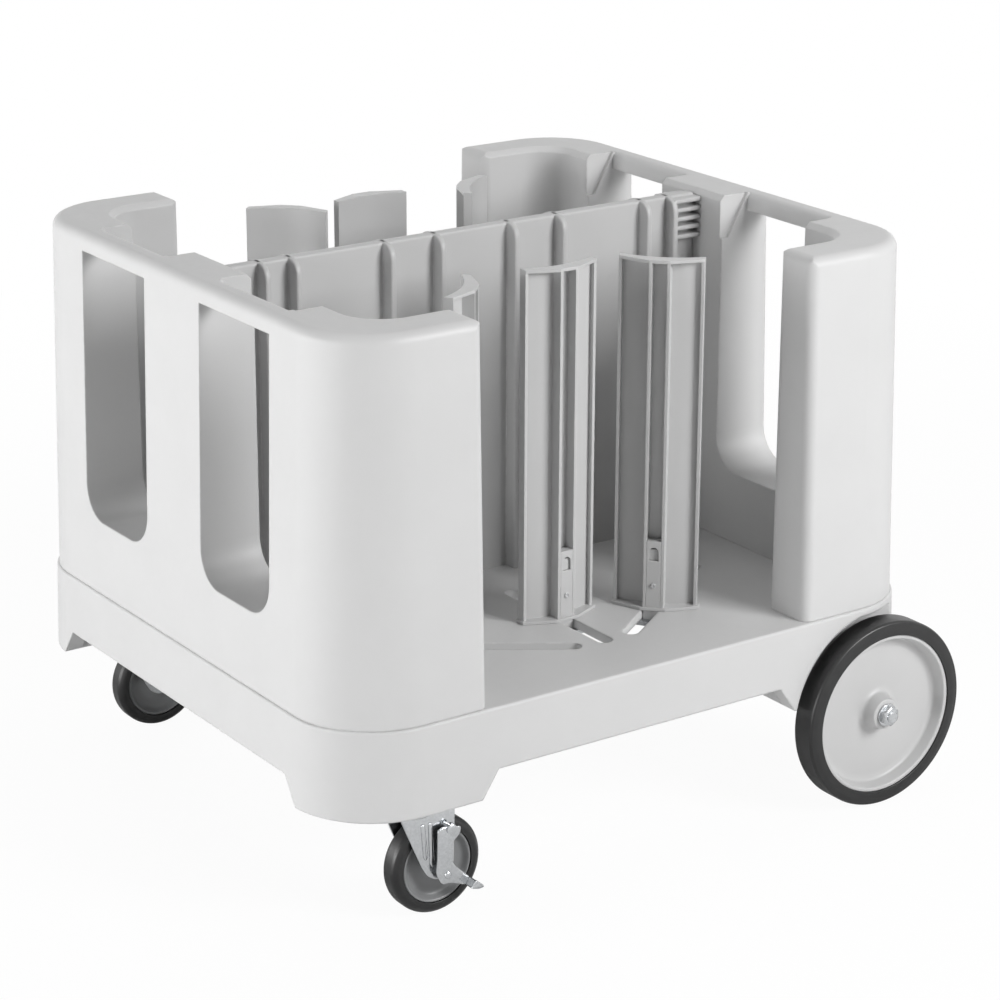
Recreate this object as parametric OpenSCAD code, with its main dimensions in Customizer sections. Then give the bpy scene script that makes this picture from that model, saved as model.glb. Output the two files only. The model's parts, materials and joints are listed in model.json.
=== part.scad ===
// Plate dispenser cart
// Two moulded end walls and a centre divider stand on a wheeled base. Six upright towers slide in
// slots of the deck and close in on the stacks of plates. X runs along the cart, with the swivel
// casters at -X and the large wheels at +X. Y runs across it, Z is up and the floor is z = 0.

/* [Base] */
// Length of the base at the edge of the deck
base_l = 900; // [890:5:930]
// Width of the base at the edge of the deck
base_w = 810; // [806:2:840]
// Height of the deck above the floor
deck_z = 271; // [268:1:290]
// Thickness of the deck
deck_t = 12; // [10:1:15]
// Corner radius of the base in plan
base_r = 112; // [100:1:125]
// How far the skirt flares outward on its way down
skirt_flare = 3.5; // [1:0.5:6]
// Thickness of the skirt
skirt_t = 22; // [16:1:26]
// Height of the skirt's lower edge above the floor
skirt_z = 192; // [182:1:200]
// Length of a corner foot along the cart at the caster end
caster_foot_l = 193; // [180:1:205]
// Length of a corner foot along the cart at the wheel end
wheel_foot_l = 223; // [219:1:226]
// Width of a corner foot across the cart
foot_w = 105; // [98:1:115]
// Sideways run of the sloped ends of the skirt arches
arch_run = 24; // [16:1:34]
// Edge rounding along the top of the base
base_edge = 3; // [2:0.5:6]
// Depth of the stiffening ribs under the deck
rib_h = 45; // [25:1:55]
// Thickness of the stiffening ribs
rib_t = 8; // [5:1:10]

/* [End walls] */
// Ledge of the base left outside the end walls
ledge = 3; // [1:0.5:5]
// Height of the end walls above the deck
wall_h = 476; // [470:2:520]
// Lean of the outer faces over that height
wall_lean = 12; // [8:1:16]
// Rounding of the outer top edge
wall_round = 14; // [8:1:18]
// Thickness of an end wall at the deck
end_wall_t = 87; // [80:1:92]
// Thickness of the side returns at the deck
side_wall_t = 76; // [67:1:78]
// Inner corner radius of an end wall
well_r = 50; // [30:2:70]
// Length of the side returns along the cart
return_l = 203; // [192:1:212]
// Rounding of the upright edges of the side returns
panel_round = 13; // [8:1:15]
// Bevel of the inner top edge
rim_bevel = 7; // [3:0.5:8]
// Distance of a window's inner jamb from the middle of the cart
window_in = 68.5; // [62:0.5:76]
// Width of a window
window_w = 165; // [150:1:172]
// Height of the window sill above the deck
window_sill = 99; // [85:1:120]
// Radius of the lower corners of a window
window_r = 45; // [25:1:60]
// Thickness of the rail over a window
rail_t = 32; // [24:1:38]
// Height of the rail over a window
rail_h = 24; // [18:1:32]
// Depth of the scoop in a window's upper jambs
scoop_h = 57; // [40:1:70]
// How much wider than the window the scoop is at each jamb
scoop_w = 5; // [3:0.5:8]

/* [Divider] */
// Thickness of the divider wall
divider_t = 16; // [14:1:20]
// Height of the divider above the deck
divider_h = 471; // [440:1:476]
// Reach of the fins from the middle plane
fin_reach = 27; // [24:1:32]
// Thickness of a fin
fin_t = 8; // [5:1:10]
// Rounding of a fin's outer top corner
fin_round = 18; // [10:1:22]
// Number of shelves beside each end wall
shelf_count = 5; // [3:1:7]
// Distance from one shelf to the next
shelf_pitch = 12.2; // [10:0.2:16]
// Thickness of a shelf
shelf_t = 6; // [4:0.5:7]

/* [Towers] */
// Height of a tower
tower_h = 464; // [440:2:470]
// Radius of the concave face that meets the plates
tower_face_r = 130; // [110:2:160]
// Width of a tower
tower_w = 108; // [100:2:112]
// Depth of the back webs behind the tower's centre
tower_back = 14; // [13:1:17]
// Distance from the tower's centre to its front edges
tower_front = 16; // [15:1:19]
// Thickness of the curved skin
tower_skin = 3; // [2.5:0.5:4]
// Clear width of the channel at the back
channel_w = 19; // [17:1:20]
// Thickness of the two back webs
web_t = 4; // [3:0.5:5]
// Thickness of the back-turned lips
lip_t = 4; // [3:0.5:5]
// Length of the back-turned lips
lip_l = 12; // [8:1:15]
// Thickness of a tower's top cap
cap_t = 4; // [3:0.5:6]
// Thickness of a tower's foot flange
flange_t = 4; // [3:0.5:6]
// How far the foot flange stands out round the tower
flange_out = 3; // [1:0.5:3]
// Height of the latch cover
cover_h = 90; // [80:1:110]
// Lift of the lock slide
lock_lift = 8; // [6:0.5:9]
// Diameter of the lock rod
lock_rod_d = 8; // [6:0.5:9]

/* [Tower slots] */
// Width of a slot
slot_w = 22; // [20:0.5:26]
// Length of a diagonal slot between its end centres
slot_l = 255; // [250:1:262]
// Angle of a diagonal slot from the length of the cart
slot_turn = 34; // [32:1:36]
// Distance of a diagonal slot's outer end from the middle plane across the cart
slot_out_x = 45; // [43:1:48]
// Distance of a diagonal slot's outer end from the middle plane along the cart
slot_out_y = 297; // [294:1:300]
// Length of a middle slot between its end centres
mid_slot_l = 200; // [190:1:206]
// Distance of a middle slot's outer end from the middle plane along the cart
mid_slot_out_y = 301; // [298:1:304]
// Angle of the diagonal towers from the length of the cart
tower_turn = 45; // [43:1:47]
// Rest place of the near left tower, from the outer end of its slot
near_left_rest = 134; // [115:1:150]
// Rest place of the near middle tower, from the outer end of its slot
near_mid_rest = 95; // [80:1:120]
// Rest place of the near right tower, from the outer end of its slot
near_right_rest = 93; // [80:1:120]
// Rest place of the far left tower, from the outer end of its slot
far_left_rest = 97; // [90:1:120]
// Rest place of the far middle tower, from the outer end of its slot
far_mid_rest = 52; // [44:1:60]
// Rest place of the far right tower, from the outer end of its slot
far_right_rest = 127; // [110:1:145]

/* [Rear wheels] */
// Diameter of a rear wheel
rear_d = 254; // [250:1:258]
// Width of a rear tyre
rear_tyre_w = 38; // [34:1:40]
// Diameter of the rim inside a rear tyre
rear_rim_d = 216; // [208:1:220]
// Distance of the rear axle from the middle of the base
rear_x = 365; // [362:1:368]
// Distance of a rear tyre's outer face from the middle of the cart
rear_out = 430; // [426:1:436]
// Diameter of the rear axle
axle_d = 16; // [14:1:20]
// Gap between a rear tyre and its arch
arch_gap = 11; // [10:1:12]
// Gap between a rear tyre and the roof of its arch
arch_roof_gap = 8; // [5:1:9]
// Gap between a rear tyre and the inner wall of its arch
arch_side_gap = 6; // [4:1:8]

/* [Casters] */
// Diameter of a caster wheel
caster_d = 127; // [120:1:130]
// Width of a caster wheel
caster_w = 30; // [28:1:34]
// Height of a whole caster
caster_h = 157; // [155:1:162]
// Distance of a caster's swivel axis from the middle of the base, along the cart
caster_x = 325; // [318:1:330]
// Distance of a caster's swivel axis from the middle of the base, across the cart
caster_y = 350; // [346:1:353]
// Trail of the caster wheel behind its swivel axis
caster_trail = 32; // [26:1:36]
// Diameter of the caster's axle bolt
caster_bolt_d = 9.5; // [8:0.5:11]
// Thickness of the fork's legs
fork_t = 3; // [2.5:0.5:4]

/* [Hidden] */
$fn = 96;

// Running gaps, fits and overruns shared by the whole cart
over = 1;
slide_gap = 0.3;
fit_gap = 0.05;

body_colour = "#D8D8D8";
tower_colour = "#C9C9C9";
steel_colour = "#B5B7B8";
tyre_colour = "#333333";
hub_colour = "#8C8C8C";

// Levels and plan sizes that follow from the driving sizes
foot_z = caster_h;
wall_z = deck_z + wall_h;
wall_l = base_l - 2*ledge;
wall_w = base_w - 2*ledge;
wall_r = base_r - ledge;
well_l = wall_l - 2*end_wall_t;
well_w = wall_w - 2*side_wall_t;
side_gap_l = wall_l - 2*return_l;
lean_angle = atan(wall_lean/wall_h);
window_z0 = deck_z + window_sill;
window_z1 = wall_z - rail_h;
rail_in = wall_l/2 - wall_lean - rail_t;
scoop_foot_share = 0.26;
rail_round = rail_t/4;
rear_r = rear_d/2;
rear_z = rear_r;
rear_in = rear_out - rear_tyre_w;
caster_r = caster_d/2;
origin_x = (rear_x + rear_r - base_l/2 - skirt_flare)/2;

// Ribs lie clear of the slots and of the shoes that run under the deck
cross_rib_share = 0.68;
keel_rib_y = 32;

// Fins of the divider, as shares of half its length
fin_shares = [0.158, 0.369, 0.753, 0.875];

// Screws that hold the walls and the divider from under the deck
wall_screw_d = 8;
wall_screw_head_d = 15;
wall_screw_head_t = 5;
wall_screw_bite = 25;
wall_screw_inset = 36;
wall_screw_pitch = 150;
divider_screw_x = 180;

// Sliding foot of a tower
tongue_side_gap = 1;
tongue_w = slot_w - 2*tongue_side_gap;
tongue_l = 30;
shoe_l = 50;
shoe_w = 40;
shoe_t = 6;
shoe_screw_d = 6;
shoe_screw_head_d = 11;
shoe_screw_head_t = 3.5;
shoe_screw_bite = 9;
tower_z = deck_z + slide_gap;
tower_arc_x = tower_front + sqrt(tower_face_r*tower_face_r - tower_w*tower_w/4);

// Latch cover and lock slide in the back channel of a tower
cover_t = 2.5;
cover_front = 1;
cover_z = tower_z + flange_t;
thumb_slot_w = 12;
thumb_slot_h = 12;
thumb_top_gap = 1;
thumb_h = 26;
thumb_t = 9;
lock_x = -(tower_back + cover_front)/2 + cover_t/2;
cover_screw_d = 4;
cover_screw_head_d = 7;
cover_screw_head_t = 1.5;
cover_screw_z = 30;

// Rear wheel, its boss, its fastening and the brackets of the axle
rim_lip = 6;
rim_lip_set = 2;
disc_set = 20;
disc_t = 8;
boss_d = 40;
boss_tip_d = 34;
tyre_round = 10;
washer_d = 30;
washer_t = 2.5;
nut_d = 27;
nut_t = 8.5;
axle_end = 3;
bracket_plate_l = 90;
bracket_w = 70;
bracket_t = 5;
foot_edge = 6;
wheel_block_in = rear_in - arch_side_gap - bracket_w - 2*foot_edge;
bracket_y = wheel_block_in + foot_edge + bracket_w/2;
bracket_eye_d = 36;
bracket_bolt_d = 8;
bracket_bolt_head_d = 14;
bracket_bolt_head_t = 5;
bracket_bolt_bite = 30;
bracket_bolt_inset = 12;

// Caster parts
plate_l = 105;
plate_w = 85;
plate_t = 4;
race_d = 60;
race_t = 8;
crown_d = 62;
crown_t = 7.5;
fork_side_gap = 4.5;
fork_in = caster_w/2 + fork_side_gap;
kingpin_d = 12;
kingpin_bite = 5;
caster_rim_d = 98;
caster_rim_t = 4;
caster_web_t = 10;
caster_hub_d = 30;
caster_tyre_round = 7;
caster_bolt_head_d = 16;
caster_bolt_head_t = 6;
plate_bolt_d = 8;
plate_bolt_head_d = 14;
plate_bolt_head_t = 5;
plate_bolt_bite = 30;
plate_bolt_inset = 13;

// Outline of a fork leg, as shares of the trail along and of the leg's height up
leg_x_shares = [-0.53, 1.62, 1.56, 1.25, 0.5, 0.19, 0.09];
leg_z_shares = [1, 1, -0.05, -0.17, -0.17, 0.03, 0.2];

// Brake lever on the outer face of the fork
lever_t = 2.5;
lever_gap = 1;
lever_pin_d = 8;
lever_pin_x = 40;
lever_pin_z = 117;
lever_tab = 14;
lever_edge = 3;
// Lever outline: distances from the swivel axis along, and heights over the floor
lever_outline = [
  [caster_trail*0.9, caster_h*0.79],
  [caster_trail*1.62, caster_h*0.79],
  [caster_trail*1.62, caster_h*0.47],
  [caster_trail*2.45, caster_h*0.285],
  [caster_trail*2.3, caster_h*0.235],
  [caster_trail*1.7, caster_h*0.315],
  [caster_trail*1.0, caster_h*0.3],
  [caster_trail*0.6, caster_h*0.36],
  [caster_trail*0.6, caster_h*0.52],
  [caster_trail*0.9, caster_h*0.53]
];

SIDES = [["near", -1], ["far", 1]];

// Each tower: its name, its sense along X, its sense along Y and its rest place in the slot
TOWERS = [
  ["near_left", -1, -1, near_left_rest],
  ["near_middle", 0, -1, near_mid_rest],
  ["near_right", 1, -1, near_right_rest],
  ["far_left", -1, 1, far_left_rest],
  ["far_middle", 0, 1, far_mid_rest],
  ["far_right", 1, 1, far_right_rest]
];

// Shifts the cart so that the origin lies on the floor in the middle of its outline
module place() translate([-origin_x, 0, 0]) children();

// A shape drawn in X and Z, extruded across the cart
module across(w) translate([0, w/2, 0]) rotate([90, 0, 0]) linear_extrude(w) children();

// A shape drawn in Y and Z, extruded along the cart
module along(l) translate([-l/2, 0, 0]) rotate([90, 0, 90]) linear_extrude(l) children();

// Mirrors its children to the other side of the middle planes
module mirrored(flip_x, flip_y) {
  if (flip_x && flip_y) mirror([1, 0, 0]) mirror([0, 1, 0]) children();
  else if (flip_x) mirror([1, 0, 0]) children();
  else if (flip_y) mirror([0, 1, 0]) children();
  else children();
}

// Removes the corner at the origin of a shape that lies in the +X +Y quadrant, leaving a radius
module corner_cut(r) difference() {
  translate([-over, -over]) square(r + over);
  translate([r, r]) circle(r);
}

// Half section of a block whose side leans inward and whose top edge is rounded
module side_profile(half, h, lean, round_r) {
  a = atan(lean/h);
  cx = half - lean*(h - round_r)/h - round_r/cos(a);
  cz = h - round_r;
  polygon([
    [0, 0], [half, 0], [cx + round_r*cos(a), cz + round_r*sin(a)], [cx, cz], [cx, h], [0, h]
  ]);
  if (round_r > 0) intersection() {
    translate([cx, cz]) circle(round_r);
    polygon([
      [cx, cz],
      [cx + (round_r + over)*cos(a), cz + (round_r + over)*sin(a)],
      [half - lean + over, h + over],
      [cx, h + over]
    ]);
  }
}

// Block with rounded corners in plan, sides that lean inward and a rounded top edge
module drafted_block(l, w, r, h, lean, round_r = 0) {
  for (m = [0, 1]) mirrored(m == 1, false)
    translate([0, w/2 - r, 0]) rotate([90, 0, 0]) linear_extrude(w - 2*r)
      side_profile(l/2, h, lean, round_r);
  for (m = [0, 1]) mirrored(false, m == 1)
    translate([-(l/2 - r), 0, 0]) rotate([90, 0, 90]) linear_extrude(l - 2*r)
      side_profile(w/2, h, lean, round_r);
  for (mx = [0, 1], my = [0, 1]) mirrored(mx == 1, my == 1)
    translate([l/2 - r, w/2 - r, 0]) rotate_extrude(angle = 90)
      side_profile(r, h, lean, round_r);
}

// Upright slot for a tower, with rounded ends, from its outer end centre along +X
module slot_cut(l) {
  translate([0, 0, deck_z - deck_t - over]) linear_extrude(deck_t + 2*over) {
    translate([0, -slot_w/2]) square([l, slot_w]);
    circle(d = slot_w);
    translate([l, 0]) circle(d = slot_w);
  }
}

// Outer end of a tower's slot and its angle, in the far right quadrant
function is_middle(t) = t[1] == 0;
function slot_start(t) = is_middle(t) ? [0, mid_slot_out_y] : [slot_out_x, slot_out_y];
function slot_angle(t) = is_middle(t) ? 90 : slot_turn;
function face_angle(t) = is_middle(t) ? 90 : tower_turn;

// Puts its children on a tower's place in its slot, turned to the given angle
module at_tower(t, s, turn) {
  p = slot_start(t);
  a = slot_angle(t);
  mirrored(t[1] < 0, t[2] < 0)
    translate([p[0] + s*cos(a), p[1] - s*sin(a), 0]) rotate(-turn) children();
}

// Places of the screws under the deck: those of the end walls and those of the divider
wall_screw_x = base_l/2 - skirt_t - wall_screw_inset;
wall_screw_places = concat(
  [for (sx = [-1, 1], sy = [-1, 0, 1]) [sx*wall_screw_x, sy*wall_screw_pitch]],
  [for (sx = [-1, 1]) [sx*divider_screw_x, 0]]
);

// Places of the bolts of the caster plates and of the axle brackets
plate_bolt_places = [for (sx = [-1, 1], sy = [-1, 1])
  [sx*(plate_l/2 - plate_bolt_inset), sy*(plate_w/2 - plate_bolt_inset)]];
bracket_bolt_places = [for (sx = [-1, 1], sy = [-1, 1])
  [sx*(bracket_plate_l/2 - bracket_bolt_inset), sy*(bracket_w/2 - bracket_bolt_inset)]];

// Opening between the corner feet under the long sides
module side_arch() {
  x0 = -(base_l/2 - caster_foot_l);
  x1 = base_l/2 - wheel_foot_l;
  across(base_w + 2*skirt_flare + 2*over) polygon([
    [x0, foot_z - over], [x0, foot_z], [x0 + arch_run, skirt_z],
    [x1 - arch_run, skirt_z], [x1, foot_z], [x1, foot_z - over]
  ]);
}

// Opening between the corner feet under the short sides
module end_arch() {
  y1 = base_w/2 - foot_w;
  along(base_l + 2*skirt_flare + 2*over) polygon([
    [-y1, foot_z - over], [-y1, foot_z], [-y1 + arch_run, skirt_z],
    [y1 - arch_run, skirt_z], [y1, foot_z], [y1, foot_z - over]
  ]);
}

// Space of a rear wheel in the corner of the base, on the +Y side
module wheel_arch() {
  arch_r = rear_r + arch_gap;
  arch_in = rear_in - arch_side_gap;
  arch_w = base_w/2 + skirt_flare + over - arch_in;
  intersection() {
    translate([rear_x, arch_in, rear_z]) rotate([-90, 0, 0]) cylinder(h = arch_w, r = arch_r);
    translate([rear_x - arch_r - over, arch_in - over, rear_z - arch_r])
      cube([2*arch_r + 2*over, arch_w + 2*over, rear_d + arch_roof_gap + arch_r - rear_z]);
  }
}

// Hollow of the base between its skirt, its solid corners and its ribs
module tray_hollow() {
  in_l = base_l - 2*skirt_t;
  in_w = base_w - 2*skirt_t;
  hollow_h = deck_z - deck_t - foot_z + over;
  z0 = foot_z - over;
  difference() {
    translate([0, 0, z0]) drafted_block(in_l, in_w, base_r - skirt_t, hollow_h, 0);
    for (m = [0, 1]) mirrored(false, m == 1) {
      translate([-base_l/2, base_w/2 - foot_w, z0 - over])
        cube([caster_foot_l, foot_w, hollow_h + 2*over]);
      translate([base_l/2 - wheel_foot_l, wheel_block_in, z0 - over])
        cube([wheel_foot_l, foot_w, hollow_h + 2*over]);
      translate([-base_l/2, keel_rib_y - rib_t/2, deck_z - deck_t - rib_h])
        cube([base_l, rib_t, rib_h + over]);
    }
    for (sx = [-1, 1])
      translate([sx*cross_rib_share*base_l/2 - rib_t/2, -base_w/2, deck_z - deck_t - rib_h])
        cube([rib_t, base_w, rib_h + over]);
  }
}

// Base: deck with slots, flared skirt with arches, solid corners and ribs under the deck
module base_moulding() color(body_colour) difference() {
  translate([0, 0, foot_z])
    drafted_block(base_l + 2*skirt_flare, base_w + 2*skirt_flare, base_r + skirt_flare,
      deck_z - foot_z, skirt_flare, base_edge);
  tray_hollow();
  side_arch();
  end_arch();
  for (m = [0, 1]) mirrored(false, m == 1) wheel_arch();
  for (t = TOWERS) at_tower(t, 0, slot_angle(t)) slot_cut(is_middle(t) ? mid_slot_l : slot_l);
  for (p = wall_screw_places) translate([p[0], p[1], deck_z - deck_t - over])
    cylinder(h = deck_t + 2*over, d = wall_screw_d + 2*fit_gap);
  for (m = [0, 1]) mirrored(false, m == 1) {
    for (p = plate_bolt_places) translate([p[0] - caster_x, p[1] + caster_y, foot_z - over])
      cylinder(h = plate_bolt_bite + over, d = plate_bolt_d + 2*fit_gap);
    for (p = bracket_bolt_places) translate([p[0] + rear_x, p[1] + bracket_y, foot_z - over])
      cylinder(h = bracket_bolt_bite + over, d = bracket_bolt_d + 2*fit_gap);
    translate([-caster_x, caster_y, foot_z - over])
      cylinder(h = kingpin_bite + fit_gap + over, d = kingpin_d + 2*slide_gap);
  }
}

// Outline of a window in Y and Z, with rounded lower corners
module window_outline(grow = 0) {
  translate([window_in - grow, window_z0 + window_r])
    square([window_w + 2*grow, window_z1 - window_z0 - window_r]);
  translate([window_in + window_r, window_z0]) square([window_w - 2*window_r, 2*window_r]);
  for (y = [window_r, window_w - window_r])
    translate([window_in + y, window_z0 + window_r]) circle(window_r);
}

// A window through the wheel end wall, the hand hole over it and the scoop in its jambs
module window_cut() {
  x0 = well_l/2 - over;
  cut_l = base_l/2 - x0 + over;
  translate([x0 + cut_l/2, 0, 0]) along(cut_l) window_outline();
  translate([0, window_in + window_w/2, 0]) across(window_w) difference() {
    polygon([
      [x0, window_z1 - over], [rail_in, window_z1 - over], [rail_in, wall_z - rail_round],
      [rail_in + rail_round, wall_z], [rail_in + rail_round, wall_z + over], [x0, wall_z + over]
    ]);
    translate([rail_in + rail_round, wall_z - rail_round]) circle(rail_round);
  }
  translate([0, window_in + window_w/2, 0]) across(window_w + 2*scoop_w) polygon([
    [x0, wall_z - scoop_h],
    [well_l/2 + scoop_foot_share*(rail_in - well_l/2), wall_z - scoop_h],
    [rail_in, wall_z], [rail_in, wall_z + over], [x0, wall_z + over]
  ]);
}

// The wheel end wall: a U in plan with two windows, leaning outside and rounded along the top
module wheel_end_shape() difference() {
  translate([0, 0, deck_z]) drafted_block(wall_l, wall_w, wall_r, wall_h, wall_lean, wall_round);
  translate([0, 0, deck_z - over]) drafted_block(well_l, well_w, well_r, wall_h + 2*over, 0);
  translate([0, 0, wall_z - rim_bevel])
    drafted_block(well_l, well_w, well_r, rim_bevel + over, -rim_bevel - over);
  translate([-base_l/2, -base_w/2, deck_z - over])
    cube([base_l/2 + side_gap_l/2, base_w, wall_h + 2*over]);
  for (m = [0, 1]) mirrored(false, m == 1) {
    window_cut();
    translate([side_gap_l/2, wall_w/2, deck_z]) rotate([lean_angle, 0, 0]) mirror([0, 1, 0])
      translate([0, 0, -over]) linear_extrude(wall_h + 2*over) corner_cut(panel_round);
    translate([side_gap_l/2, well_w/2, deck_z - over])
      linear_extrude(wall_h + 2*over) corner_cut(panel_round);
  }
  translate([side_gap_l/2, 0, wall_z]) mirror([0, 0, 1]) across(base_w) corner_cut(panel_round);
  for (p = wall_screw_places) translate([p[0], p[1], deck_z - over])
    cylinder(h = wall_screw_bite + over, d = wall_screw_d + 2*fit_gap);
}

module wheel_end_wall() color(body_colour) wheel_end_shape();

module caster_end_wall() color(body_colour) rotate(180) wheel_end_shape();

// Fin of the divider, drawn in Y and Z, standing on the deck with a rounded outer top corner
module fin_outline() difference() {
  translate([-fin_reach, deck_z]) square([2*fin_reach, divider_h]);
  for (m = [0, 1]) mirrored(m == 1, false)
    translate([-fin_reach, deck_z + divider_h]) mirror([0, 1, 0]) corner_cut(fin_round);
}

// Divider: a wall between the end walls, with upright fins and short shelves on both faces
module centre_divider() color(body_colour) difference() {
  union() {
    translate([-well_l/2, -divider_t/2, deck_z]) cube([well_l, divider_t, divider_h]);
    for (sx = [-1, 1], f = fin_shares) translate([sx*f*well_l/2, 0, 0]) along(fin_t) fin_outline();
    for (m = [0, 1]) mirrored(m == 1, false)
      for (i = [0 : shelf_count - 1]) {
        x0 = fin_shares[3]*well_l/2;
        reach = fin_reach - fin_t/2;
        translate([x0, -reach, deck_z + divider_h - shelf_t/2 - i*shelf_pitch - shelf_t])
          cube([well_l/2 - x0, 2*reach, shelf_t]);
      }
  }
  for (sx = [-1, 1]) translate([sx*divider_screw_x, 0, deck_z - over])
    cylinder(h = wall_screw_bite + over, d = wall_screw_d + 2*fit_gap);
}

// Screws from under the deck into the end walls and the divider
module wall_screws() color(steel_colour) for (p = wall_screw_places) {
  translate([p[0], p[1], deck_z - deck_t - wall_screw_head_t])
    cylinder(h = wall_screw_head_t, d = wall_screw_head_d);
  translate([p[0], p[1], deck_z - deck_t])
    cylinder(h = deck_t + wall_screw_bite - over, d = wall_screw_d);
}

// Closed outline of a tower in plan, grown all round: concave in front, wedge-shaped behind
module tower_outline(grow) {
  half = tower_w/2 + grow;
  web = channel_w/2 + web_t + grow;
  back = -tower_back - grow;
  difference() {
    polygon([
      [back, -web], [tower_front - lip_l - grow, -half], [tower_front, -half],
      [tower_front, half], [tower_front - lip_l - grow, half], [back, web]
    ]);
    translate([tower_arc_x, 0]) circle(tower_face_r - grow);
  }
}

// Section of a tower between its cap and its foot: curved skin, two lips and two back webs
module tower_section() {
  difference() {
    union() {
      intersection() {
        translate([tower_arc_x, 0]) circle(tower_face_r + tower_skin);
        translate([0, -tower_w/2]) square([tower_front, tower_w]);
      }
      for (s = [-1, 1]) {
        translate([tower_front - lip_l, s*(tower_w - lip_t)/2 - lip_t/2]) square([lip_l, lip_t]);
        translate([-tower_back, s*(channel_w + web_t)/2 - web_t/2])
          square([tower_back + tower_skin + lip_t, web_t]);
      }
    }
    translate([tower_arc_x, 0]) circle(tower_face_r);
  }
}

// Tower: section, cap and foot flange, with the tongue that runs in the slot
module tower(t) color(tower_colour) difference() {
  union() {
    at_tower(t, t[3], face_angle(t)) {
      translate([0, 0, tower_z]) linear_extrude(tower_h) tower_section();
      translate([0, 0, tower_z + tower_h - cap_t]) linear_extrude(cap_t) tower_outline(0);
      translate([0, 0, tower_z]) linear_extrude(flange_t) tower_outline(flange_out);
    }
    at_tower(t, t[3], slot_angle(t))
      translate([-tongue_l/2, -tongue_w/2, deck_z - deck_t - slide_gap])
        cube([tongue_l, tongue_w, deck_t + 2*slide_gap + flange_t/2]);
  }
  at_tower(t, t[3], face_angle(t)) {
    translate([lock_x, 0, tower_z - over])
      cylinder(h = flange_t + 2*over, d = lock_rod_d + 2*fit_gap);
  }
  at_tower(t, t[3], 0) translate([0, 0, deck_z - deck_t - slide_gap - over])
    cylinder(h = shoe_screw_bite + over, d = shoe_screw_d + 2*fit_gap);
}

// Shoe under the deck with the screw that holds it to the tongue
module tower_shoe(t) color(steel_colour) at_tower(t, t[3], slot_angle(t)) {
  shoe_z = deck_z - deck_t - slide_gap - shoe_t;
  translate([-shoe_l/2, -shoe_w/2, shoe_z]) cube([shoe_l, shoe_w, shoe_t]);
  translate([0, 0, shoe_z - shoe_screw_head_t])
    cylinder(h = shoe_screw_head_t, d = shoe_screw_head_d);
  translate([0, 0, shoe_z]) cylinder(h = shoe_t + shoe_screw_bite - over, d = shoe_screw_d);
}

// Latch cover: closes the foot of the back channel, with a rounded thumb slot and a screw
module latch_cover(t) color(tower_colour) at_tower(t, t[3], face_angle(t)) {
  cover_w = channel_w - 2*slide_gap;
  cover_d = tower_back - cover_front;
  thumb_z = cover_z + cover_h - cover_t - thumb_slot_h - thumb_slot_w;
  difference() {
    translate([-tower_back, -cover_w/2, cover_z]) cube([cover_d, cover_w, cover_h]);
    translate([-tower_back + cover_t, -cover_w/2 + cover_t, cover_z - over])
      cube([cover_d, cover_w - 2*cover_t, cover_h - cover_t + over]);
    translate([-tower_back, 0, 0]) along(2*cover_t + over) {
      translate([-thumb_slot_w/2, thumb_z]) square([thumb_slot_w, thumb_slot_h]);
      translate([0, thumb_z + thumb_slot_h]) circle(d = thumb_slot_w);
    }
  }
  translate([-tower_back, 0, cover_z + cover_screw_z]) rotate([0, -90, 0])
    cylinder(h = cover_screw_head_t, d = cover_screw_head_d);
}

// Lock slide: a rod that presses on the deck and a thumb block behind the cover's slot
module lock_slide(t) color(steel_colour) at_tower(t, t[3], face_angle(t)) {
  thumb_w = channel_w - 2*slide_gap - 2*cover_t - 2*slide_gap;
  thumb_z = cover_z + cover_h - cover_t - thumb_top_gap - lock_lift - thumb_h;
  translate([lock_x, 0, deck_z + slide_gap]) cylinder(h = thumb_z - deck_z, d = lock_rod_d);
  translate([lock_x - thumb_t/2, -thumb_w/2, thumb_z]) cube([thumb_t, thumb_w, thumb_h]);
}

// Axle of the two rear wheels, held by the brackets
module rear_axle() color(steel_colour)
  translate([rear_x, 0, rear_z]) rotate([90, 0, 0])
    cylinder(h = 2*(rear_out + slide_gap + washer_t + nut_t + axle_end), d = axle_d, center = true);

// Bracket under a rear corner: a plate with two eyes that carry the axle
module axle_bracket() color(steel_colour) difference() {
  union() {
    translate([rear_x - bracket_plate_l/2, bracket_y - bracket_w/2, foot_z - bracket_t])
      cube([bracket_plate_l, bracket_w, bracket_t]);
    for (s = [-1, 1]) translate([rear_x, bracket_y + s*(bracket_w - bracket_t)/2, 0])
      across(bracket_t) {
        translate([-bracket_eye_d/2, rear_z]) square([bracket_eye_d, foot_z - rear_z - over]);
        translate([0, rear_z]) circle(d = bracket_eye_d);
      }
  }
  translate([rear_x, bracket_y, rear_z]) rotate([90, 0, 0])
    cylinder(h = bracket_w + 2*over, d = axle_d + 2*fit_gap, center = true);
  for (p = bracket_bolt_places) translate([p[0] + rear_x, p[1] + bracket_y, foot_z - bracket_t - over])
    cylinder(h = bracket_t + 2*over, d = bracket_bolt_d + 2*fit_gap);
}

// Hexagon head bolt standing on z = 0, head down, shank up
module hex_bolt(head_d, head_t, d, l) {
  translate([0, 0, -head_t]) cylinder(h = head_t, d = head_d, $fn = 6);
  cylinder(h = l, d = d);
}

// Bolts of the two axle brackets
module bracket_bolts() color(steel_colour)
  for (m = [0, 1]) mirrored(false, m == 1) for (p = bracket_bolt_places)
    translate([p[0] + rear_x, p[1] + bracket_y, foot_z - bracket_t])
      hex_bolt(bracket_bolt_head_d, bracket_bolt_head_t, bracket_bolt_d,
        bracket_t + bracket_bolt_bite - over);

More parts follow.
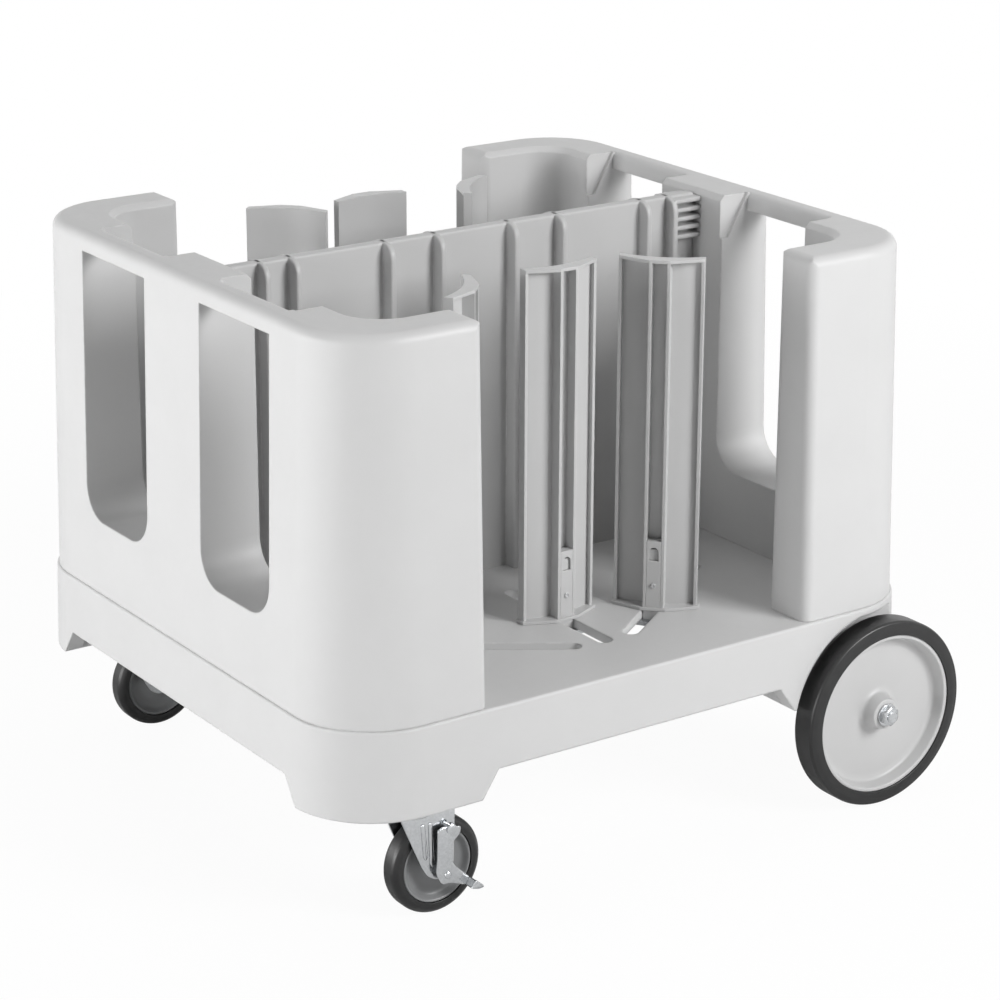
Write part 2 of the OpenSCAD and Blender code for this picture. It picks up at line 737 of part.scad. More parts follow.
// Bolts of the two caster plates
module caster_plate_bolts() color(steel_colour)
  for (m = [0, 1]) mirrored(false, m == 1) for (p = plate_bolt_places)
    translate([p[0] - caster_x, p[1] + caster_y, foot_z - plate_t])
      hex_bolt(plate_bolt_head_d, plate_bolt_head_t, plate_bolt_d,
        plate_t + plate_bolt_bite - over);

// Solid of revolution round a rear wheel's axis, its profile drawn as radius and distance out
module rear_turned() translate([rear_x, 0, rear_z]) rotate([-90, 0, 0])
  rotate_extrude() children();

// Rear wheel: rim with raised lips, dished disc and boss
module rear_wheel() color(body_colour) rear_turned() {
  rim_r = rear_rim_d/2;
  out = rear_out - rim_lip_set;
  inn = rear_in + rim_lip_set;
  disc_out = rear_out - disc_set;
  bore_r = axle_d/2 + fit_gap;
  polygon([
    [bore_r, inn], [boss_d/2, inn], [boss_d/2, disc_out - disc_t],
    [rim_r - 2*rim_lip, disc_out - disc_t], [rim_r - rim_lip, inn], [rim_r, inn],
    [rim_r, out], [rim_r - rim_lip, out], [rim_r - 2*rim_lip, disc_out], [boss_d/2, disc_out],
    [boss_tip_d/2, rear_out], [bore_r, rear_out]
  ]);
}

// Rear tyre round the rim, with rounded shoulders
module rear_tyre() color(tyre_colour) rear_turned() difference() {
  translate([rear_rim_d/2, rear_in]) square([rear_r - rear_rim_d/2, rear_tyre_w]);
  translate([rear_r, rear_in]) mirror([1, 0]) corner_cut(tyre_round);
  translate([rear_r, rear_out]) mirror([1, 0]) mirror([0, 1]) corner_cut(tyre_round);
}

// Washer between the boss of a rear wheel and its nut
module axle_washer() color(steel_colour)
  translate([rear_x, rear_out + slide_gap, rear_z]) rotate([-90, 0, 0]) difference() {
    cylinder(h = washer_t, d = washer_d);
    translate([0, 0, -over]) cylinder(h = washer_t + 2*over, d = axle_d + 2*fit_gap);
  }

// Nut on the end of the rear axle
module axle_nut() color(steel_colour)
  translate([rear_x, rear_out + slide_gap + washer_t, rear_z]) rotate([-90, 0, 0]) difference() {
    cylinder(h = nut_t, d = nut_d, $fn = 6);
    translate([0, 0, -over]) cylinder(h = nut_t + 2*over, d = axle_d + 2*fit_gap);
  }

// Level of the top of a caster's fork
crown_z = caster_h - plate_t - race_t - slide_gap;

// Caster plate with its raceway and kingpin
module caster_plate() color(steel_colour) translate([-caster_x, caster_y, 0]) {
  difference() {
    union() {
      translate([-plate_l/2, -plate_w/2, caster_h - plate_t]) cube([plate_l, plate_w, plate_t]);
      translate([0, 0, caster_h - plate_t - race_t]) cylinder(h = race_t + plate_t/2, d = race_d);
      translate([0, 0, crown_z - crown_t - slide_gap])
        cylinder(h = caster_h - crown_z + crown_t + slide_gap + kingpin_bite, d = kingpin_d);
      translate([0, 0, crown_z - crown_t - slide_gap - kingpin_bite])
        cylinder(h = kingpin_bite, d = 2*kingpin_d);
    }
    for (p = plate_bolt_places) translate([p[0], p[1], caster_h - plate_t - over])
      cylinder(h = plate_t + 2*over, d = plate_bolt_d + 2*fit_gap);
  }
}

// Fork of a caster: a crown round the kingpin and two tapered legs down to the axle bolt
module caster_fork() color(steel_colour) translate([-caster_x, caster_y, 0]) {
  leg_h = crown_z - caster_r;
  leg_outline = [for (i = [0 : len(leg_x_shares) - 1])
    [leg_x_shares[i]*caster_trail, caster_r + leg_z_shares[i]*leg_h]];
  reach = leg_x_shares[1]*caster_trail;
  difference() {
    union() {
      translate([0, 0, crown_z - crown_t]) cylinder(h = crown_t, d = crown_d);
      translate([0, -fork_in - fork_t, crown_z - fork_t]) cube([reach, 2*(fork_in + fork_t), fork_t]);
      for (s = [-1, 1]) translate([0, s*(fork_in + fork_t/2), 0]) across(fork_t)
        polygon(leg_outline);
    }
    translate([0, 0, crown_z - crown_t - over])
      cylinder(h = crown_t + 2*over, d = kingpin_d + 2*fit_gap);
    translate([caster_trail, 0, caster_r]) rotate([90, 0, 0])
      cylinder(h = 4*fork_in, d = caster_bolt_d + 2*fit_gap, center = true);
    translate([lever_pin_x, 0, lever_pin_z]) rotate([-90, 0, 0])
      cylinder(h = 2*fork_in, d = lever_pin_d + 2*fit_gap);
  }
}

// Solid of revolution round a caster wheel's axis
module caster_turned() translate([caster_trail - caster_x, caster_y, caster_r])
  rotate([-90, 0, 0]) rotate_extrude() children();

// Caster wheel: rim, web and hub
module caster_wheel() color(hub_colour) caster_turned() {
  rim_r = caster_rim_d/2;
  rim_w = caster_w - caster_rim_t;
  hub_w = 2*(fork_in - slide_gap);
  bore_r = caster_bolt_d/2 + fit_gap;
  half = [
    [rim_r, rim_w/2], [rim_r - caster_rim_t, rim_w/2],
    [rim_r - 2*caster_rim_t, caster_web_t/2], [caster_hub_d/2 + caster_rim_t, caster_web_t/2],
    [caster_hub_d/2, hub_w/2], [bore_r, hub_w/2]
  ];
  polygon(concat(half, [for (i = [len(half) - 1 : -1 : 0]) [half[i][0], -half[i][1]]]));
}

// Caster tyre with rounded shoulders
module caster_tyre() color(tyre_colour) caster_turned() difference() {
  translate([caster_rim_d/2, -caster_w/2]) square([caster_r - caster_rim_d/2, caster_w]);
  for (s = [0, 1]) mirrored(false, s == 1)
    translate([caster_r, -caster_w/2]) mirror([1, 0]) corner_cut(caster_tyre_round);
}

// Axle bolt of a caster with its nut
module caster_axle_bolt() color(steel_colour)
  translate([caster_trail - caster_x, caster_y, caster_r]) rotate([90, 0, 0]) {
    end = fork_in + fork_t;
    cylinder(h = 2*end, d = caster_bolt_d, center = true);
    for (s = [0, 1]) mirror([0, 0, s]) translate([0, 0, end])
      cylinder(h = caster_bolt_head_t, d = caster_bolt_head_d, $fn = 6);
  }

// Brake lever outside the fork: an arm, a pedal with a folded edge, and its pivot pin
module brake_lever() color(steel_colour) translate([-caster_x, caster_y, 0]) {
  y0 = fork_in + fork_t + caster_bolt_head_t + lever_gap;
  translate([0, y0 + lever_t/2, 0]) across(lever_t) polygon(lever_outline);
  translate([0, y0 + lever_t/2 + lever_tab/2, 0]) across(lever_t + lever_tab) polygon([
    lever_outline[3], lever_outline[4],
    lever_outline[4] + [-caster_trail*0.4, caster_h*0.055],
    lever_outline[3] + [-caster_trail*0.4, caster_h*0.055]
  ]);
  translate([lever_pin_x, fork_in, lever_pin_z]) rotate([-90, 0, 0])
    cylinder(h = y0 - fork_in + lever_t + lever_edge, d = lever_pin_d);
}

place() base_moulding();
place() caster_end_wall();
place() wheel_end_wall();
place() centre_divider();
place() wall_screws();
place() rear_axle();
place() bracket_bolts();
place() caster_plate_bolts();

for (s = SIDES) {
  place() mirrored(false, s[1] < 0) axle_bracket();
  place() mirrored(false, s[1] < 0) rear_wheel();
  place() mirrored(false, s[1] < 0) rear_tyre();
  place() mirrored(false, s[1] < 0) axle_washer();
  place() mirrored(false, s[1] < 0) axle_nut();
  place() mirrored(false, s[1] < 0) caster_plate();
  place() mirrored(false, s[1] < 0) caster_fork();
  place() mirrored(false, s[1] < 0) caster_wheel();
  place() mirrored(false, s[1] < 0) caster_tyre();
  place() mirrored(false, s[1] < 0) caster_axle_bolt();
  place() mirrored(false, s[1] < 0) brake_lever();
}

for (t = TOWERS) {
  place() tower(t);
  place() latch_cover(t);
  place() lock_slide(t);
  place() tower_shoe(t);
}
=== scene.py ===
# %% [markdown]
# # A plate dispenser cart, dressed for its picture
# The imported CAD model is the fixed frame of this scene. Each solid of the cart stays where it
# is and gets the finish of the real thing, and small parts that the solids only suggest are
# made here as finer surfaces. Lengths are in metres, in the same frame as the solids. The
# tables of points are in millimetres, and turn to metres when a piece is made.

# %% The frame and the tools
import json
import math

import bpy
import numpy as np
from mathutils import Matrix, Vector


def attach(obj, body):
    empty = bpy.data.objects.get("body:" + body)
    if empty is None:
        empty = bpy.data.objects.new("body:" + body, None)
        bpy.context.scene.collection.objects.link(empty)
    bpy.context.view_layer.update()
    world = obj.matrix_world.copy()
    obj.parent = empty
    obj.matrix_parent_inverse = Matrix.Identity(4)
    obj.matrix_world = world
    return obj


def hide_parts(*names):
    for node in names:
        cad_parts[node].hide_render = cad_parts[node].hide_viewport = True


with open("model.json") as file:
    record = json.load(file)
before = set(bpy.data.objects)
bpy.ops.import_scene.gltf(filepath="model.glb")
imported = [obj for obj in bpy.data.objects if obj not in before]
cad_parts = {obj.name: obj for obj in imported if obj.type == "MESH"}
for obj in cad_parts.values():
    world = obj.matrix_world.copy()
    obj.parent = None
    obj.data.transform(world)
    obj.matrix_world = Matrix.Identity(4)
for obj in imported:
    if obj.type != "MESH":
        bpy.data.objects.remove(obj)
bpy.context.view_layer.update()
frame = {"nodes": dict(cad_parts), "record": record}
nodes = frame["nodes"]
MM = 0.001

# %% [markdown]
# ## The camera
# A product picture is taken from a little above the cart and to one side. The camera stands
# where the edges of the deck, the windows and the wheels line up with the photograph, and its
# lens is a long one, because the upright edges hardly lean.

# %% The camera
CAMERA_PLACE = Vector((-2.1183, -3.1082, 1.6657))
CAMERA_YAW = math.radians(34.643)
CAMERA_PITCH = math.radians(-19.05)
CAMERA_ROLL = math.radians(0.174)
FOCAL_PIXELS = 2996
PICTURE_PIXELS = 1000
SENSOR_MM = 36


def camera_axes(yaw, pitch, roll):
    """Right, up and backward axes: yaw turns from +Y towards +X, pitch lifts, roll turns.

    forward = (sin yaw cos pitch, cos yaw cos pitch, sin pitch), and right is level with it.
    """
    forward = Vector((math.sin(yaw)*math.cos(pitch), math.cos(yaw)*math.cos(pitch),
                      math.sin(pitch)))
    right = forward.cross(Vector((0, 0, 1))).normalized()
    up = right.cross(forward)
    rolled_right = right*math.cos(roll) + up*math.sin(roll)
    rolled_up = up*math.cos(roll) - right*math.sin(roll)
    return rolled_right, rolled_up, -forward


def make_camera():
    """A camera whose focal length in pixels, over the picture's width, gives its lens."""
    data = bpy.data.cameras.new("studio_camera")
    data.sensor_width = SENSOR_MM
    data.lens = FOCAL_PIXELS*SENSOR_MM/PICTURE_PIXELS
    data.clip_end = 60
    camera = bpy.data.objects.new("studio_camera", data)
    bpy.context.scene.collection.objects.link(camera)
    axes = camera_axes(CAMERA_YAW, CAMERA_PITCH, CAMERA_ROLL)
    turn = Matrix(axes).transposed().to_4x4()
    camera.matrix_world = Matrix.Translation(CAMERA_PLACE) @ turn
    bpy.context.scene.camera = camera
    return camera


camera = make_camera()
print("camera lens:", round(camera.data.lens, 1), "mm")

# %% [markdown]
# ## Building materials from nodes
# A finish is a small graph: coordinates in metres, one or two noises at a real size, and a
# shader. One function turns the hex colours to linear light, and one adds a node with its
# settings and links, so that each material below reads as a short recipe.

# %% Helpers for materials


def linear(hex_colour):
    """A hex colour in linear light: c/12.92 when c is small, else ((c + 0.055)/1.055)**2.4."""
    channel = np.array([int(hex_colour[i:i + 2], 16) for i in (1, 3, 5)])/255
    light = np.where(channel <= 0.04045, channel/12.92, ((channel + 0.055)/1.055)**2.4)
    return (*light.tolist(), 1.0)


def add(tree, kind, settings=None, **links):
    """Adds a node, sets its own settings, then fills each input with a value or a link.

    An input is named by its words joined with underscores, or by a letter and its number.
    """
    made = tree.nodes.new("ShaderNode" + kind)
    for name, value in (settings or {}).items():
        setattr(made, name, value)
    for name, value in links.items():
        key = int(name[1:]) if name[1:].isdigit() else name.replace("_", " ")
        socket = made.inputs[key]
        if isinstance(value, bpy.types.NodeSocket):
            tree.links.new(value, socket)
        else:
            socket.default_value = value
    return made


def new_material(name):
    """An empty node material, its tree, and the piece's own coordinates in metres."""
    material = bpy.data.materials.new(name)
    material.use_nodes = True
    tree = material.node_tree
    tree.nodes.clear()
    place = add(tree, "TexCoord").outputs["Object"]
    return material, tree, place


def per_metre(size_mm):
    """The scale of a noise whose features are size_mm wide."""
    return 1/(size_mm*MM)


def ramp(tree, factor, low, high, low_value, high_value):
    """Maps a factor between low and high to a value between low_value and high_value."""
    return add(tree, "MapRange", Value=factor, From_Min=low, From_Max=high,
               To_Min=low_value, To_Max=high_value).outputs["Result"]


def blend(tree, factor, first, second):
    """A colour between two others: first where the factor is 0, and second where it is 1."""
    return add(tree, "Mix", {"data_type": "RGBA"}, i0=factor, i6=first, i7=second).outputs[2]


print("helpers ready")

# %% [markdown]
# ## Moulded polyethylene
# The base, the end walls and the divider are rotationally moulded: powdered polyethylene melts
# against the wall of a turning mould and copies its blasted surface. The eye sees a matt grey
# skin with a fine orange peel, edges that are never sharp, and faint scuffs where plates and
# hands rub. The Bevel node rounds the shading of each edge, and the same node finds the edges
# for the wear. The divider gets a darker grey copy of the same skin, which is painted shade:
# it stands deep inside the cart, where less light falls.

# %% Moulded polyethylene
MOTTLE_MM, SCUFF_MM = 90, 14
PLASTIC_IOR = 1.51


def edge_mask(tree, radius_mm, low, high):
    """How far a softened normal departs from the true one: near 0 on flats and 1 at edges."""
    softened = add(tree, "Bevel", {"samples": 4}, Radius=radius_mm*MM).outputs["Normal"]
    true = add(tree, "NewGeometry").outputs["Normal"]
    same = add(tree, "VectorMath", {"operation": "DOT_PRODUCT"},
               i0=softened, i1=true).outputs["Value"]
    return softened, ramp(tree, same, high, low, 0.0, 1.0)


def moulded_plastic(name, colour, worn, grain_mm, grain_depth_mm, roughness, bevel_mm):
    """A matt moulded skin: broad mottling, fine peel in the normal, and paler worn edges."""
    material, tree, place = new_material(name)
    softened, edges = edge_mask(tree, bevel_mm, 0.80, 0.995)
    mottle = add(tree, "TexNoise", Vector=place, Scale=per_metre(MOTTLE_MM),
                 Detail=4.0).outputs["Fac"]
    scuffs = add(tree, "TexNoise", Vector=place, Scale=per_metre(SCUFF_MM), Detail=6.0,
                 Roughness=0.65).outputs["Fac"]
    peel = add(tree, "TexNoise", Vector=place, Scale=per_metre(grain_mm),
               Detail=3.0).outputs["Fac"]
    shade = ramp(tree, mottle, 0.3, 0.7, 0.985, 1.01)
    grey = add(tree, "CombineColor", Red=shade, Green=shade, Blue=shade).outputs["Color"]
    base = add(tree, "Mix", {"data_type": "RGBA", "blend_type": "MULTIPLY"}, i0=1.0,
               i6=linear(colour), i7=grey).outputs[2]
    rubbed = add(tree, "Math", {"operation": "MULTIPLY"}, i0=edges,
                 i1=ramp(tree, scuffs, 0.35, 0.65, 0.1, 0.7)).outputs[0]
    skin_colour = blend(tree, rubbed, base, linear(worn))
    gloss = ramp(tree, scuffs, 0.3, 0.7, roughness + 0.06, roughness - 0.05)
    bump = add(tree, "Bump", Strength=0.6, Distance=grain_depth_mm*MM, Height=peel,
               Normal=softened).outputs["Normal"]
    shader = add(tree, "BsdfPrincipled", Base_Color=skin_colour, Roughness=gloss,
                 IOR=PLASTIC_IOR, Normal=bump)
    add(tree, "OutputMaterial", Surface=shader.outputs["BSDF"])
    return material


body_skin = moulded_plastic("rotomoulded_polyethylene", "#CBCBCB", "#EFEFEE",
                            1.6, 0.12, 0.46, 4.0)
# A darker copy of the body's plastic for the divider: painted shade of the cart's inside.
divider_skin_with_painted_shade = moulded_plastic("polyethylene_darkened_as_painted_shade", "#BBBBBB", "#E2E2E2",
                               1.4, 0.06, 0.44, 3.0)
print("made", body_skin.name, "and", divider_skin_with_painted_shade.name)

# %% [markdown]
# ## Finishes of the smaller parts
# The towers and wheel discs are injection moulded, so their skin is smoother and a little
# glossier than the body's. Tyres are filled rubber, which stays dark with a soft sheen. Forks,
# nuts and the axle are zinc plated steel, a bright metal whose crystals break up the
# reflection.

# %% Towers, wheels, rubber and zinc
tower_skin = moulded_plastic("injection_moulded_abs", "#C1C1C1", "#EEEEEE",
                             0.9, 0.03, 0.34, 1.2)
disc_skin = moulded_plastic("moulded_polypropylene", "#BEBEBE", "#E4E4E4",
                            1.2, 0.05, 0.40, 1.5)
hub_skin = moulded_plastic("moulded_nylon", "#7E7F80", "#A5A5A5", 1.0, 0.04, 0.38, 1.0)
DUST_MM, PORE_MM, CRYSTAL_MM, BRUSH_MM = 18, 0.9, 2.2, 1.1
RUBBER_IOR = 1.52


def tyre_rubber():
    """Carbon-filled rubber: fine pores in the normal and dusty scuffs in the colour."""
    material, tree, place = new_material("carbon_filled_rubber")
    dust = add(tree, "TexNoise", Vector=place, Scale=per_metre(DUST_MM), Detail=6.0,
               Roughness=0.6).outputs["Fac"]
    pores = add(tree, "TexNoise", Vector=place, Scale=per_metre(PORE_MM),
                Detail=2.0).outputs["Fac"]
    shade = blend(tree, ramp(tree, dust, 0.35, 0.75, 0.0, 1.0),
                  linear("#0E0E0F"), linear("#1A1A1A"))
    bump = add(tree, "Bump", Strength=0.5, Distance=0.05*MM, Height=pores).outputs["Normal"]
    shader = add(tree, "BsdfPrincipled", Base_Color=shade, IOR=RUBBER_IOR, Normal=bump,
                 Roughness=ramp(tree, dust, 0.3, 0.7, 0.30, 0.42))
    add(tree, "OutputMaterial", Surface=shader.outputs["BSDF"])
    return material


def zinc_plate():
    """Zinc on steel: crystals a few millimetres wide change the shade and the roughness."""
    material, tree, place = new_material("zinc_plated_steel")
    crystals = add(tree, "TexVoronoi", {"feature": "F1"}, Vector=place,
                   Scale=per_metre(CRYSTAL_MM)).outputs["Color"]
    value = add(tree, "SeparateColor", Color=crystals).outputs["Red"]
    brushed = add(tree, "TexNoise", Vector=place, Scale=per_metre(BRUSH_MM),
                  Detail=4.0).outputs["Fac"]
    shade = blend(tree, value, linear("#BABCBE"), linear("#C7C9CB"))
    gloss = add(tree, "Math", {"operation": "ADD"}, i0=ramp(tree, value, 0.0, 1.0, 0.17, 0.22),
                i1=ramp(tree, brushed, 0.3, 0.7, -0.03, 0.05)).outputs[0]
    bump = add(tree, "Bump", Strength=0.2, Distance=0.02*MM, Height=brushed).outputs["Normal"]
    shader = add(tree, "BsdfPrincipled", Base_Color=shade, Metallic=1.0, Roughness=gloss,
                 Normal=bump)
    add(tree, "OutputMaterial", Surface=shader.outputs["BSDF"])
    return material


rubber = tyre_rubber()
zinc = zinc_plate()
FINISH = {"moulded_body": body_skin, "tower_plastic": tower_skin, "wheel_plastic": disc_skin,
          "caster_hub": hub_skin, "tyre_rubber": rubber, "zinc_steel": zinc}
slot_of = {row["node"]: row["material_slot"] for row in frame["record"]["subparts"]}
for name, piece in nodes.items():
    finish = tower_skin if name.endswith("_lock_slide") else FINISH[slot_of[name]]
    piece.data.materials.clear()
    piece.data.materials.append(finish)
print("dressed", len(slot_of), "solids in", len(FINISH), "finishes")

# %% [markdown]
# ## Surfaces from rings
# The wheels, the casters and the nuts are turned or pressed, and each of these can be written
# as a stack of rings: a turned piece carries a profile round an axis, and a pressed one moves
# an outline through its thickness, drawn in a little at both faces. The profile's corners
# become short curves, so that the finished edges catch the light. A grid of points worked out
# at once is quick and exact, where a chain of modifiers would leave uneven faces.

# %% Helpers for shapes
X, Y, Z = (1, 0, 0), (0, 1, 0), (0, 0, 1)
SIDES = {"near": -1, "far": 1}


def softened(outline, reach, steps=5):
    """Rounds each corner of a closed outline by a quadratic curve that spans `reach` each way.

    point = (1 - s)^2 start + 2 s (1 - s) corner + s^2 end, for s from 0 to 1. One more point
    a little further out on each side keeps the flats between the curves flat.
    """
    corner = np.asarray(outline, float)
    to_last, to_next = np.roll(corner, 1, 0) - corner, np.roll(corner, -1, 0) - corner
    last_l, next_l = np.linalg.norm(to_last, axis=1), np.linalg.norm(to_next, axis=1)
    near = np.minimum(reach, 0.4*np.minimum(last_l, next_l))[:, None]
    last_way, next_way = to_last/last_l[:, None], to_next/next_l[:, None]
    start, end = corner + last_way*near, corner + next_way*near
    s = np.linspace(0, 1, steps)[None, :, None]
    curve = (1 - s)**2*start[:, None] + 2*s*(1 - s)*corner[:, None] + s**2*end[:, None]
    before, after = corner + last_way*near*1.2, corner + next_way*near*1.2
    return np.concatenate([before[:, None], curve, after[:, None]], 1).reshape(-1, 2)


def seat(origin, along, up, out):
    """A place to build on: its origin in millimetres and three directions."""
    return tuple(np.array(v, float) for v in (origin, along, up, out))


def turned(profile, place, steps=144):
    """A closed profile of (radius, height) carried round an axis.

    point = origin + radius (sin a along + cos a up) + height out, for each angle a.
    """
    origin, along, up, out = place
    a = np.linspace(0, 2*np.pi, steps, endpoint=False)
    r, t = np.asarray(profile, float).T
    circle = np.sin(a)[:, None]*along + np.cos(a)[:, None]*up
    return origin + r[:, None, None]*circle[None] + t[:, None, None]*out, True


def stacked(radius, heights, place):
    """Rings covered at both ends: one row of radii for each height, a column for each angle."""
    origin, along, up, out = place
    a = np.linspace(0, 2*np.pi, radius.shape[1], endpoint=False)
    circle = np.sin(a)[:, None]*along + np.cos(a)[:, None]*up
    rise = np.asarray(heights, float)[:, None, None]*out
    return origin + radius[..., None]*circle[None] + rise, False


def round_rings(radii, heights, place, steps=40):
    """Round rings, one radius for each height."""
    return stacked(np.tile(np.array(radii, float)[:, None], (1, steps)), heights, place)


def plate(outline, low, high, edge, place):
    """A plate between two heights, whose edges at both faces are quarter circles.

    The outline is drawn in by edge (1 - sin q) at the height low + edge (1 - cos q), for q
    from 0 to 90 degrees, and the same way at the other face.
    """
    origin, along, up, out = place
    p = np.asarray(outline, float)
    area = np.sum(p[:, 0]*np.roll(p[:, 1], -1) - np.roll(p[:, 0], -1)*p[:, 1])
    way = np.roll(p, -1, 0) - np.roll(p, 1, 0)
    across = np.stack([way[:, 1], -way[:, 0]], 1)/np.linalg.norm(way, axis=1)[:, None]
    outward = np.sign(area)*across
    q = np.radians([0, 22.5, 45, 67.5, 90])
    inset = edge*np.concatenate([1 - np.sin(q), 1 - np.sin(q[::-1])])
    height = np.concatenate([low + edge*(1 - np.cos(q)), high - edge*(1 - np.cos(q[::-1]))])
    flat = p[None] - inset[:, None, None]*outward[None]
    rows = origin + flat[..., :1]*along + flat[..., 1:]*up + height[:, None, None]*out
    return rows, False


def nut(across, low, high, chamfer, place, steps=72):
    """A hexagon with its outer corners cut by a cone: the lesser of the two radii is used."""
    a = np.linspace(0, 2*np.pi, steps, endpoint=False)
    hexagon = across/2/np.cos((a % (np.pi/3)) - np.pi/6)
    shares = np.array([0, 0, 0.33, 0.66, 1.0])
    heights = np.append(low, high - chamfer*shares[:0:-1])
    cone = across/2/math.cos(math.pi/6) - shares*chamfer*1.8
    return stacked(np.minimum(hexagon[None], cone[:, None]), heights, place)


def skin(rows, joined_up):
    """Faces between rings: the first and last are joined, or each is covered by one face.

    The shell's volume, a sum of a . (b x c)/6 over its triangles, says if the faces look out.
    """
    count, around = rows.shape[:2]
    i = np.arange(count if joined_up else count - 1)[:, None]
    j, k = np.arange(around)[None], (np.arange(around)[None] + 1) % around
    below, above = i*around, ((i + 1) % count)*around
    quads = np.stack([below + j, below + k, above + k, above + j], -1).reshape(-1, 4)
    halves = np.array([[0, 1, 2], [0, 2, 3]])
    faces, triangles = quads.tolist(), quads[:, halves].reshape(-1, 3)
    if not joined_up:
        for start, turn in ((0, -1), ((count - 1)*around, 1)):
            ring = (start + np.arange(around))[::turn]
            faces.append(ring.tolist())
            fan = np.stack(np.broadcast_arrays(ring[0], ring[1:-1], ring[2:]), 1)
            triangles = np.vstack([triangles, fan])
    points = rows.reshape(-1, 3)
    a, b, c = points[triangles].transpose(1, 0, 2)
    volume = np.einsum("ij,ij->", a - points[0], np.cross(b - points[0], c - points[0]))
    return points, [face[::-1] for face in faces] if volume < 0 else faces


def keep(name, shells, finish, body, slot, *stands_for, sharp=38):
    """Joins shells in one mesh and seats it on its body, in place of CAD nodes if any."""
    points, faces, first = [], [], 0
    for shell in shells:
        shell_points, shell_faces = skin(*shell)
        faces += [[first + v for v in face] for face in shell_faces]
        points.append(shell_points)
        first += len(shell_points)
    mesh = bpy.data.meshes.new(name)
    mesh.from_pydata((np.vstack(points)*MM).tolist(), [], faces)
    mesh.shade_smooth()
    mesh.set_sharp_from_angle(angle=math.radians(sharp))
    mesh.materials.append(finish)
    piece = bpy.data.objects.new(name, mesh)
    bpy.context.scene.collection.objects.link(piece)
    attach(piece, body)
    if stands_for:
        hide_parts(*stands_for)
    return piece


print("shape helpers ready")

# %% [markdown]
# ## The large wheels
# Each large wheel is a moulded disc, dished between a raised rim and a cone-shaped boss, and a
# rubber tyre is stretched over it. A profile of radius against distance from the middle of the
# cart gives both. The tyre has a flat tread and a small shoulder that shows as a thin bright
# line. The axle ends in a thread, and a chamfered nut closes it.

# %% The large wheels
WHEEL_X, WHEEL_Z = 345.75, 127.0
DISC = [[8.2, 394], [20, 394], [20, 402], [90, 402], [102, 394], [108, 394], [108, 428],
        [103, 428], [99, 412], [92, 410], [31, 410], [25, 413], [20.5, 429.4], [16.4, 430],
        [8.2, 430]]
DISC_REACH = [0.3, 1, 1, 6, 2, 1, 1, 2.4, 3, 5, 5, 4, 1.5, 0.6, 0.5]
TYRE = [[108.05, 392], [120, 392], [127, 396], [127, 425.8], [125.2, 428.6], [117, 430],
        [108.05, 430]]
TYRE_REACH = [0.4, 3, 3.5, 1.6, 1.6, 3, 0.8]
WASHER = [[8.2, 430.3], [15, 430.3], [15, 432.8], [8.2, 432.8]]
NUT_ACROSS, NUT_IN, NUT_OUT, NUT_CHAMFER = 23.4, 432.9, 441.3, 2.0
AXLE_R, AXLE_END, AXLE_CHAMFER = 8.0, 444.3, 1.2
THREAD_PITCH, THREAD_L, THREAD_DEPTH = 2.0, 22.0, 0.9


def axle_rings():
    """Rings along the axle: its ends go from crest to root each half pitch, then a chamfer."""
    crest = np.arange(AXLE_END - THREAD_L, AXLE_END - THREAD_PITCH, THREAD_PITCH)
    half_y = np.stack([crest, crest + THREAD_PITCH/2], 1).reshape(-1)
    half_r = np.tile([AXLE_R, AXLE_R - THREAD_DEPTH], len(crest))
    half_y = np.append(half_y, [AXLE_END - AXLE_CHAMFER, AXLE_END])
    half_r = np.append(half_r, [AXLE_R, AXLE_R - AXLE_CHAMFER])
    return np.append(-half_y[::-1], half_y), np.append(half_r[::-1], half_r)


axle_y, axle_r = axle_rings()
keep("threaded_axle", [round_rings(axle_r, axle_y, seat((WHEEL_X, 0, WHEEL_Z), X, Z, Y), 48)],
     zinc, "cart", "zinc_steel", "rear_axle")
for name, side in SIDES.items():
    hub_place = seat((WHEEL_X, 0, WHEEL_Z), X, Z, (0, side, 0))
    body = name + "_big_wheel"
    keep(name + "_dished_wheel", [turned(softened(DISC, DISC_REACH, 7), hub_place, 180)],
         disc_skin, body, "wheel_plastic", name + "_rear_wheel")
    keep(name + "_wheel_tyre", [turned(softened(TYRE, TYRE_REACH, 7), hub_place, 180)],
         rubber, body, "tyre_rubber", name + "_rear_tyre")
    keep(name + "_wheel_washer", [turned(softened(WASHER, 0.6), hub_place, 72)],
         zinc, "cart", "zinc_steel", name + "_axle_washer")
    keep(name + "_wheel_nut", [nut(NUT_ACROSS, NUT_IN, NUT_OUT, NUT_CHAMFER, hub_place)],
         zinc, "cart", "zinc_steel", name + "_axle_nut")
print("large wheels made:", len(DISC), "and", len(TYRE), "profile corners")

# %% [markdown]
# ## The swivel casters
# A caster's fork is pressed from sheet steel: two tapered legs hang from a crown that turns
# under the plate. Each leg has two raised ribs that stiffen it. The wheel is a grey moulded
# dish with a pale lip where the tyre ends, and a stamped lever with a folded pedal brakes it.
# Plates with rounded edges and turned rings give all of these.

# %% The swivel casters
SWIVEL_X, SWIVEL_Y = -344.25, 350.0
TRAIL, ROLLER_R = 32.0, 63.5
CROWN_Z, FORK_IN, FORK_T, FORK_EDGE = 144.7, 19.5, 3.0, 0.8
FORK_OUT = FORK_IN + FORK_T
LEG = [[-27, 144.2], [51.8, 144.2], [50.2, 66], [44, 53], [36, 49.7], [24, 49.7], [12, 57],
       [4, 70], [-2, 84], [-9, 100]]
LEG_REACH = [2, 2, 8, 5, 4, 4, 5, 5, 5, 5]
RIBS = [[[2, 128], [8, 128], [12.5, 84], [9, 78.5], [5.5, 84]],
        [[12.5, 128], [18.5, 128], [21.5, 74], [18, 68], [14.5, 74]]]
RIB_REACH, RIB_SINK, RIB_RISE, RIB_EDGE = 2.4, 2, 1.7, 1.6
BRIDGE = [[0, -22.4], [51.6, -22.4], [51.6, 22.4], [0, 22.4]]
